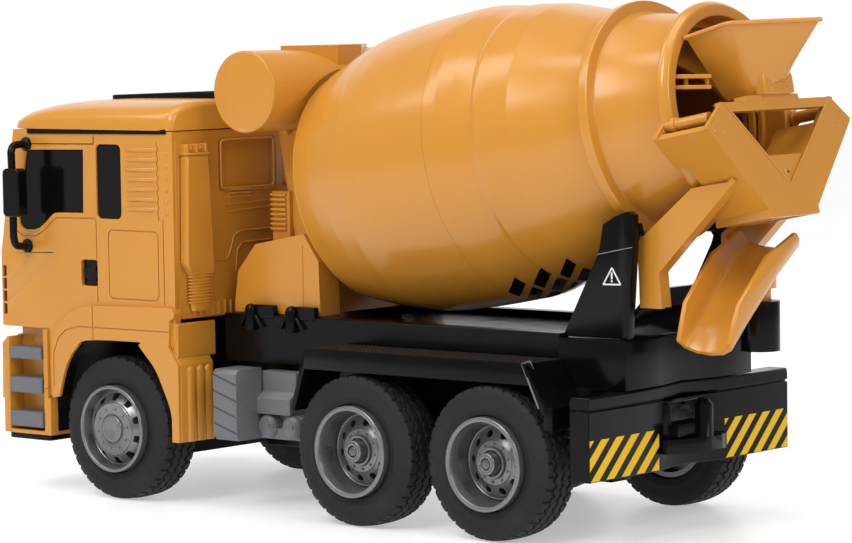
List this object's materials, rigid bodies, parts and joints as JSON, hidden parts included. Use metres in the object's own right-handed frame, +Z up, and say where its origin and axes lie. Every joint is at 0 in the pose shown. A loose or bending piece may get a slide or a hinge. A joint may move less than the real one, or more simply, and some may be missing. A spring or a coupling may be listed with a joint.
{
  "type": "toy cement mixer",
  "caption": "Toy concrete mixer truck with a turning tilted drum, filling hopper, swivelling chute, steered front wheels and rolling axles.",
  "frame": {"origin": "centre of the footprint, on the ground under the tyres", "axes": "+Z up, -Y towards the front of the truck, +X towards the truck's left side"},
  "size_m": [0.155, 0.3818, 0.2048],
  "materials": {
    "orange": "semi-gloss moulded plastic",
    "black_gloss": "gloss",
    "black_satin": "satin",
    "grey": "satin",
    "rim_silver": "silver paint on plastic",
    "tyre_rubber": "matte",
    "steel": "bright",
    "window_black": "gloss",
    "gear_white": "natural",
    "circuit_green": "satin",
    "electric_blue": "satin"
  },
  "bodies": {
    "chassis": {"battery_pack": "electric_blue", "cab_front": "orange", "cab_rear_wall": "orange", "cab_roof": "orange", "cab_side_left": "orange", "cab_side_right": "orange", "cab_steps_left": "grey", "cab_steps_right": "grey", "chassis_deck": "black_gloss", "circuit_board": "circuit_green", "discharge_collector": "orange", "drive_motor": "steel", "drum_motor": "steel", "drum_tower": "orange", "filling_hopper": "orange", "frame_rail_left": "black_gloss", "frame_rail_right": "black_gloss", "front_axle_beam": "black_satin", "front_bumper": "orange", "mirror_left": "black_gloss", "mirror_right": "black_gloss", "mudguard_left": "black_gloss", "mudguard_right": "black_gloss", "rear_bumper": "black_gloss", "rear_tower": "black_gloss", "side_tanks_left": "grey", "side_tanks_right": "grey", "side_window_left": "window_black", "side_window_right": "window_black", "steering_servo": "electric_blue", "tow_hitch": "black_gloss", "underside_cover": "black_gloss", "water_tank": "orange", "windscreen": "window_black"},
    "drum": {"drum_front_shell": "orange", "drum_rear_shell": "orange", "drum_gear": "gear_white"},
    "drum_pinion": {"drum_pinion": "gear_white"},
    "support_roller_left": {"support_roller_left": "black_satin"},
    "support_roller_right": {"support_roller_right": "black_satin"},
    "chute": {"chute": "orange"},
    "middle_wheels": {"middle_axle": "steel", "middle_rim_left": "rim_silver", "middle_rim_right": "rim_silver", "middle_tyre_left": "tyre_rubber", "middle_tyre_right": "tyre_rubber"},
    "rear_wheels": {"rear_axle": "steel", "rear_rim_left": "rim_silver", "rear_rim_right": "rim_silver", "rear_tyre_left": "tyre_rubber", "rear_tyre_right": "tyre_rubber"},
    "motor_pinion": {"motor_pinion": "gear_white"},
    "knuckle_left": {"steering_knuckle_left": "black_satin"},
    "knuckle_right": {"steering_knuckle_right": "black_satin"},
    "front_wheel_left": {"front_rim_left": "rim_silver", "front_tyre_left": "tyre_rubber"},
    "front_wheel_right": {"front_rim_right": "rim_silver", "front_tyre_right": "tyre_rubber"},
    "tie_rod": {"tie_rod": "black_satin"},
    "power_switch": {"power_switch": "black_satin"}
  },
  "joints": [
    {"name": "drum_spin", "type": "hinge", "parent": "chassis", "child": "drum", "pos_m": [0, -0.03606, 0.12946], "axis": [0, 0.9827, 0.185], "continuous": true},
    {"name": "drum_pinion_spin", "type": "hinge", "parent": "chassis", "child": "drum_pinion", "pos_m": [0, -0.03107, 0.10293], "axis": [0, 0.9827, 0.185], "continuous": true},
    {"name": "support_roller_left_spin", "type": "hinge", "parent": "chassis", "child": "support_roller_left", "pos_m": [0.0313, 0.12284, 0.11776], "axis": [0, 0.9827, 0.185], "continuous": true},
    {"name": "support_roller_right_spin", "type": "hinge", "parent": "chassis", "child": "support_roller_right", "pos_m": [-0.0313, 0.12284, 0.11776], "axis": [0, 0.9827, 0.185], "continuous": true},
    {"name": "chute_swivel", "type": "hinge", "parent": "chassis", "child": "chute", "pos_m": [0, 0.16235, 0.095], "axis": [0, 0, 1], "range_deg": [-5, 185]},
    {"name": "middle_axle_roll", "type": "hinge", "parent": "chassis", "child": "middle_wheels", "pos_m": [0, 0.01445, 0.03], "axis": [1, 0, 0], "continuous": true},
    {"name": "rear_axle_drive", "type": "hinge", "parent": "chassis", "child": "rear_wheels", "pos_m": [0, 0.08185, 0.03], "axis": [1, 0, 0], "continuous": true},
    {"name": "motor_pinion_spin", "type": "hinge", "parent": "chassis", "child": "motor_pinion", "pos_m": [0, 0.07195, 0.0399], "axis": [1, 0, 0], "continuous": true},
    {"name": "steering_left", "type": "hinge", "parent": "chassis", "child": "knuckle_left", "pos_m": [0.038, -0.11895, 0.03], "axis": [0, 0, 1], "range_deg": [-20, 20]},
    {"name": "steering_right", "type": "hinge", "parent": "chassis", "child": "knuckle_right", "pos_m": [-0.038, -0.11895, 0.03], "axis": [0, 0, 1], "range_deg": [-20.5, 20.5]},
    {"name": "tie_rod_slide", "type": "slide", "parent": "chassis", "child": "tie_rod", "axis": [1, 0, 0], "range_m": [-0.0058, 0.0058]},
    {"name": "front_wheel_left_roll", "type": "hinge", "parent": "knuckle_left", "child": "front_wheel_left", "pos_m": [0.0552, -0.11895, 0.03], "axis": [1, 0, 0], "continuous": true},
    {"name": "front_wheel_right_roll", "type": "hinge", "parent": "knuckle_right", "child": "front_wheel_right", "pos_m": [-0.0552, -0.11895, 0.03], "axis": [1, 0, 0], "continuous": true},
    {"name": "power_switch_slide", "type": "slide", "parent": "chassis", "child": "power_switch", "axis": [0, 1, 0], "range_m": [0, 0.005]}
  ],
  "couplings": [
    {"joint": "drum_pinion_spin", "follows": "drum_spin", "ratio": -2.8571},
    {"joint": "support_roller_left_spin", "follows": "drum_spin", "ratio": -11.8},
    {"joint": "support_roller_right_spin", "follows": "drum_spin", "ratio": -11.8},
    {"joint": "motor_pinion_spin", "follows": "rear_axle_drive", "ratio": -2.5},
    {"joint": "steering_right", "follows": "steering_left", "ratio": 1},
    {"joint": "tie_rod_slide", "follows": "steering_left", "m_per_rad": -0.016}
  ]
}
